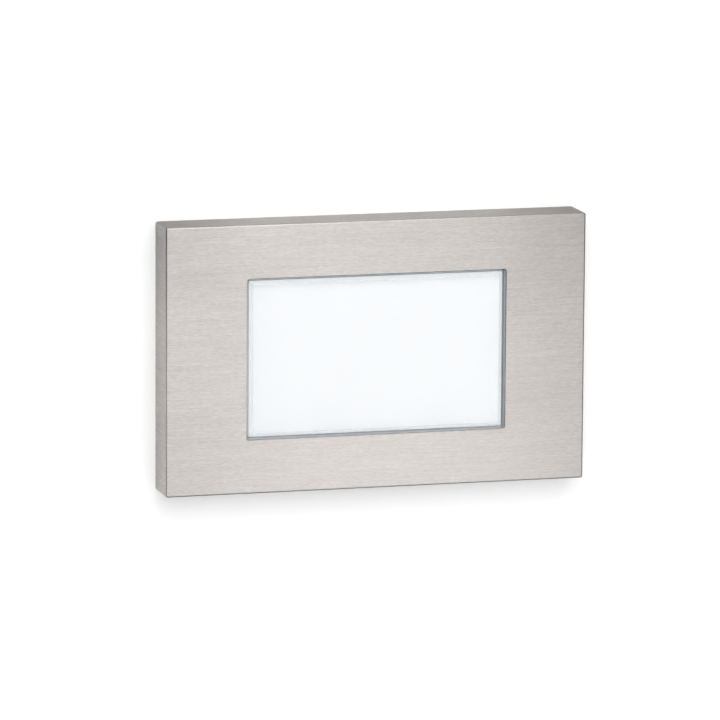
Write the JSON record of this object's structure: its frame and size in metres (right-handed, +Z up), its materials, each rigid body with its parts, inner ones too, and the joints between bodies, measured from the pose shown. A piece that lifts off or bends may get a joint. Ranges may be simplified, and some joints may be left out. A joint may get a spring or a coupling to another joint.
{
  "type": "recessed wall step light",
  "caption": "Recessed step light: brushed steel trim plate round a white lit glass window, on a sealed LED housing and bracket for a wall box.",
  "frame": {"origin": "on the face of the wall, midway between the two screws that hold the light to its wall box", "axes": "+Y into the wall, +X along the faceplate's length, +Z up"},
  "size_m": [0.127, 0.0541, 0.0794],
  "materials": {
    "box_screws": "zinc-plated machine screws",
    "bridge_rectifier": "moulded package",
    "choke": "ferrite drum",
    "diffuser": "opal acrylic",
    "driver_board": "glass-epoxy board",
    "driver_board_screws": "zinc-plated pan-head screws",
    "driver_chip": "moulded package",
    "driver_insulator": "polyester sheet",
    "faceplate": "stainless steel, brushed along its length",
    "fuse": "moulded case",
    "ground_screw": "green-dyed steel screw",
    "housing": "die-cast, bare",
    "housing_screws": "zinc-plated pan-head screws",
    "input_capacitor": "sleeved can",
    "lead_grommet": "black silicone",
    "led_board": "aluminium-core board with white solder mask",
    "led_board_screws": "zinc-plated pan-head screws",
    "led_connector": "natural nylon",
    "led_lead_black": "insulated lead",
    "led_lead_red": "insulated lead",
    "leds": "phosphor-filled packages",
    "lens": "clear glass with a polished bevel",
    "lens_gasket": "grey silicone",
    "mounting_bracket": "zinc-plated sheet steel",
    "output_capacitor": "sleeved can",
    "rear_cover": "die-cast, bare",
    "rear_cover_screws": "zinc-plated pan-head screws",
    "rear_gasket": "grey silicone",
    "reflector": "white polycarbonate",
    "set_screw_left": "stainless grub screw",
    "set_screw_right": "stainless grub screw",
    "supply_grommet": "black rubber",
    "terminal_block": "moulded nylon",
    "thermal_pad": "silicone heat pad",
    "transformer_core": "ferrite",
    "transformer_winding": "taped winding",
    "varistor": "epoxy-coated disc",
    "wall_gasket": "closed-cell foam"
  },
  "bodies": {
    "fixture": {"box_screws": "box_screws", "bridge_rectifier": "bridge_rectifier", "choke": "choke", "diffuser": "diffuser", "driver_board": "driver_board", "driver_board_screws": "driver_board_screws", "driver_chip": "driver_chip", "driver_insulator": "driver_insulator", "fuse": "fuse", "ground_screw": "ground_screw", "housing": "housing", "housing_screws": "housing_screws", "input_capacitor": "input_capacitor", "lead_grommet": "lead_grommet", "led_board": "led_board", "led_board_screws": "led_board_screws", "led_connector": "led_connector", "led_lead_black": "led_lead_black", "led_lead_red": "led_lead_red", "leds": "leds", "lens": "lens", "lens_gasket": "lens_gasket", "mounting_bracket": "mounting_bracket", "output_capacitor": "output_capacitor", "rear_cover": "rear_cover", "rear_cover_screws": "rear_cover_screws", "rear_gasket": "rear_gasket", "reflector": "reflector", "supply_grommet": "supply_grommet", "terminal_block": "terminal_block", "thermal_pad": "thermal_pad", "transformer_core": "transformer_core", "transformer_winding": "transformer_winding", "varistor": "varistor", "wall_gasket": "wall_gasket"},
    "faceplate": {"faceplate": "faceplate"},
    "set_screw_left": {"set_screw_left": "set_screw_left"},
    "set_screw_right": {"set_screw_right": "set_screw_right"}
  },
  "joints": [
    {"name": "faceplate_pull", "type": "slide", "parent": "fixture", "child": "faceplate", "axis": [0, -1, 0], "range_m": [0, 0.03]},
    {"name": "set_screw_left_turn", "type": "slide", "parent": "faceplate", "child": "set_screw_left", "axis": [0, 0, -1], "range_m": [0, 0.0021]},
    {"name": "set_screw_right_turn", "type": "slide", "parent": "faceplate", "child": "set_screw_right", "axis": [0, 0, -1], "range_m": [0, 0.0021]}
  ]
}
